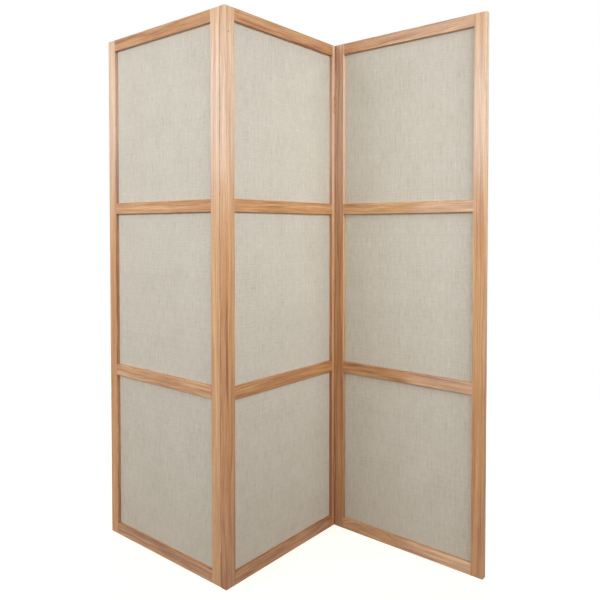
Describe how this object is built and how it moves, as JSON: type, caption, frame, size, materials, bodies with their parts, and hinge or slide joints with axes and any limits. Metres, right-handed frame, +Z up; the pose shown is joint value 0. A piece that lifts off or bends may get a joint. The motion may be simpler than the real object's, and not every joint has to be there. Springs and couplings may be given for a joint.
{
  "type": "folding room divider",
  "caption": "Free-standing folding screen of framed linen panels joined by butt hinges. It stands in a zigzag and folds flat.",
  "frame": {"origin": "on the floor under the middle of the centre panel", "axes": "+X along the centre panel from the left fold to the right fold, +Y towards the back, where the left panel stands, +Z up"},
  "size_m": [0.585, 1.1974, 1.8],
  "materials": {
    "wood": "light oak-coloured hardwood, satin",
    "board": "plain fibreboard, hidden behind the linen",
    "linen": "natural linen with upright slubs, matt",
    "hinge": "satin",
    "screw": "satin"
  },
  "bodies": {
    "centre_panel": {"centre_panel_left_stile": "wood", "centre_panel_right_stile": "wood", "centre_panel_bottom_rail": "wood", "centre_panel_lower_rail": "wood", "centre_panel_upper_rail": "wood", "centre_panel_top_rail": "wood", "centre_panel_bottom_board": "board", "centre_panel_middle_board": "board", "centre_panel_top_board": "board", "centre_panel_bottom_linen": "linen", "centre_panel_middle_linen": "linen", "centre_panel_top_linen": "linen", "left_fold_bottom_fixed_leaf": "hinge", "left_fold_middle_fixed_leaf": "hinge", "left_fold_top_fixed_leaf": "hinge", "left_fold_bottom_pin": "hinge", "left_fold_middle_pin": "hinge", "left_fold_top_pin": "hinge", "left_fold_fixed_leaf_screws": "screw", "right_fold_bottom_fixed_leaf": "hinge", "right_fold_middle_fixed_leaf": "hinge", "right_fold_top_fixed_leaf": "hinge", "right_fold_bottom_pin": "hinge", "right_fold_middle_pin": "hinge", "right_fold_top_pin": "hinge", "right_fold_fixed_leaf_screws": "screw"},
    "left_panel": {"left_panel_left_stile": "wood", "left_panel_right_stile": "wood", "left_panel_bottom_rail": "wood", "left_panel_lower_rail": "wood", "left_panel_upper_rail": "wood", "left_panel_top_rail": "wood", "left_panel_bottom_board": "board", "left_panel_middle_board": "board", "left_panel_top_board": "board", "left_panel_bottom_linen": "linen", "left_panel_middle_linen": "linen", "left_panel_top_linen": "linen", "left_fold_bottom_moving_leaf": "hinge", "left_fold_middle_moving_leaf": "hinge", "left_fold_top_moving_leaf": "hinge", "left_fold_moving_leaf_screws": "screw"},
    "right_panel": {"right_panel_left_stile": "wood", "right_panel_right_stile": "wood", "right_panel_bottom_rail": "wood", "right_panel_lower_rail": "wood", "right_panel_upper_rail": "wood", "right_panel_top_rail": "wood", "right_panel_bottom_board": "board", "right_panel_middle_board": "board", "right_panel_top_board": "board", "right_panel_bottom_linen": "linen", "right_panel_middle_linen": "linen", "right_panel_top_linen": "linen", "right_fold_bottom_moving_leaf": "hinge", "right_fold_middle_moving_leaf": "hinge", "right_fold_top_moving_leaf": "hinge", "right_fold_moving_leaf_screws": "screw"}
  },
  "joints": [
    {"name": "left_fold", "type": "hinge", "parent": "centre_panel", "child": "left_panel", "pos_m": [-0.2647, 0.0153, 0], "axis": [0, 0, -1], "range_deg": [0, 90]},
    {"name": "right_fold", "type": "hinge", "parent": "centre_panel", "child": "right_panel", "pos_m": [0.2647, -0.0153, 0], "axis": [0, 0, -1], "range_deg": [0, 90]}
  ]
}
